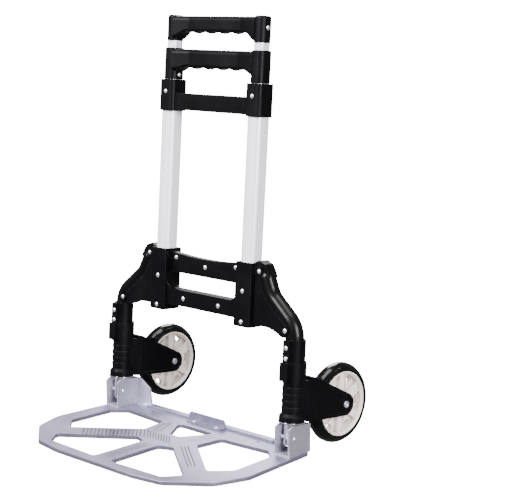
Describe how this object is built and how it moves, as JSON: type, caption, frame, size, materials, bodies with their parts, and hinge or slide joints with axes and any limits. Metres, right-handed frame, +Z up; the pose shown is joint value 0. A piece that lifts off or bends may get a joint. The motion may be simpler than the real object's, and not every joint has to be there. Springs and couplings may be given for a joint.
{
  "type": "folding hand truck",
  "caption": "Folding hand truck with a telescoping two-stage handle, a hinged ribbed toe plate and wheels that swing inward as the plate folds up.",
  "frame": {"origin": "on the floor, at the middle of the truck's footprint", "axes": "+X to the right seen from the toe plate's front, +Y from the toe plate towards the wheels, +Z up. The frame leans back 4.15 degrees towards +Y."},
  "size_m": [0.4114, 0.376, 0.6219],
  "materials": {
    "outer_tube": "anodised satin",
    "sliding_tube": "anodised satin",
    "glide": "moulded",
    "lock_pin": "turned",
    "spring_steel": "tempered",
    "black_plastic": "fine moulded grain, satin",
    "rivet": "bright",
    "coated_tube": "satin black coating",
    "chrome": "polished",
    "bolt_steel": "zinc plated",
    "ivory_plastic": "moulded, slightly glossy",
    "tyre": "smooth, glossy",
    "plate_aluminium": "fine blasted",
    "bracket_sheet": "pressed, zinc plated"
  },
  "bodies": {
    "frame": {"left_outer_tube": "outer_tube", "right_outer_tube": "outer_tube", "left_leg_tube": "coated_tube", "right_leg_tube": "coated_tube", "left_gusset": "black_plastic", "right_gusset": "black_plastic", "left_leg_clamp": "black_plastic", "right_leg_clamp": "black_plastic", "left_leg_collar": "black_plastic", "right_leg_collar": "black_plastic", "left_pivot_tube": "chrome", "right_pivot_tube": "chrome", "left_leg_ring": "chrome", "right_leg_ring": "chrome", "upper_clamp": "black_plastic", "upper_clamp_rivets": "rivet", "lower_bracket_front": "black_plastic", "lower_bracket_rear": "black_plastic", "lower_bracket_rivets": "rivet", "leg_rivets": "rivet"},
    "middle_stage": {"left_middle_tube": "sliding_tube", "right_middle_tube": "sliding_tube", "left_middle_lock_pin": "lock_pin", "right_middle_lock_pin": "lock_pin", "middle_handle": "black_plastic", "middle_handle_rivets": "rivet", "middle_tube_glides": "glide", "middle_lock_springs": "spring_steel"},
    "top_stage": {"left_inner_tube": "sliding_tube", "right_inner_tube": "sliding_tube", "left_top_lock_pin": "lock_pin", "right_top_lock_pin": "lock_pin", "top_handle": "black_plastic", "top_handle_rivets": "rivet", "inner_tube_glides": "glide", "top_lock_springs": "spring_steel"},
    "toe": {"toe_plate": "plate_aluminium", "rear_stop": "plate_aluminium", "plate_rivets": "rivet", "left_hinge_bracket": "bracket_sheet", "right_hinge_bracket": "bracket_sheet", "left_hinge_pin": "bolt_steel", "right_hinge_pin": "bolt_steel"},
    "right_wheel_bracket": {"right_wheel_fork": "black_plastic", "right_axle_bolt": "bolt_steel", "right_axle_nut": "bolt_steel", "right_axle_spacers": "bolt_steel"},
    "left_wheel_bracket": {"left_wheel_fork": "black_plastic", "left_axle_bolt": "bolt_steel", "left_axle_nut": "bolt_steel", "left_axle_spacers": "bolt_steel"},
    "right_wheel": {"right_wheel_hub": "ivory_plastic", "right_tyre": "tyre", "right_wheel_bearings": "bolt_steel"},
    "left_wheel": {"left_wheel_hub": "ivory_plastic", "left_tyre": "tyre", "left_wheel_bearings": "bolt_steel"}
  },
  "joints": [
    {"name": "middle_stage_slide", "type": "slide", "parent": "frame", "child": "middle_stage", "axis": [0, 0.0724, 0.9974], "range_m": [0, 0.19]},
    {"name": "top_stage_slide", "type": "slide", "parent": "middle_stage", "child": "top_stage", "axis": [0, 0.0724, 0.9974], "range_m": [0, 0.185]},
    {"name": "toe_plate_fold", "type": "hinge", "parent": "frame", "child": "toe", "pos_m": [0, 0.02, 0.031], "axis": [-1, 0, 0], "range_deg": [0, 94.15]},
    {"name": "right_wheel_swing", "type": "hinge", "parent": "frame", "child": "right_wheel_bracket", "pos_m": [0.182, 0.024, 0], "axis": [0, 0.0724, 0.9974], "range_deg": [0, 90]},
    {"name": "left_wheel_swing", "type": "hinge", "parent": "frame", "child": "left_wheel_bracket", "pos_m": [-0.182, 0.024, 0], "axis": [0, 0.0724, 0.9974], "range_deg": [-90, 0]},
    {"name": "right_wheel_spin", "type": "hinge", "parent": "right_wheel_bracket", "child": "right_wheel", "pos_m": [0.182, 0.128, 0.06], "axis": [1, 0, 0], "continuous": true},
    {"name": "left_wheel_spin", "type": "hinge", "parent": "left_wheel_bracket", "child": "left_wheel", "pos_m": [-0.182, 0.128, 0.06], "axis": [1, 0, 0], "continuous": true}
  ],
  "couplings": [
    {"joint": "right_wheel_swing", "follows": "toe_plate_fold", "ratio": 0.9559},
    {"joint": "left_wheel_swing", "follows": "toe_plate_fold", "ratio": -0.9559}
  ]
}
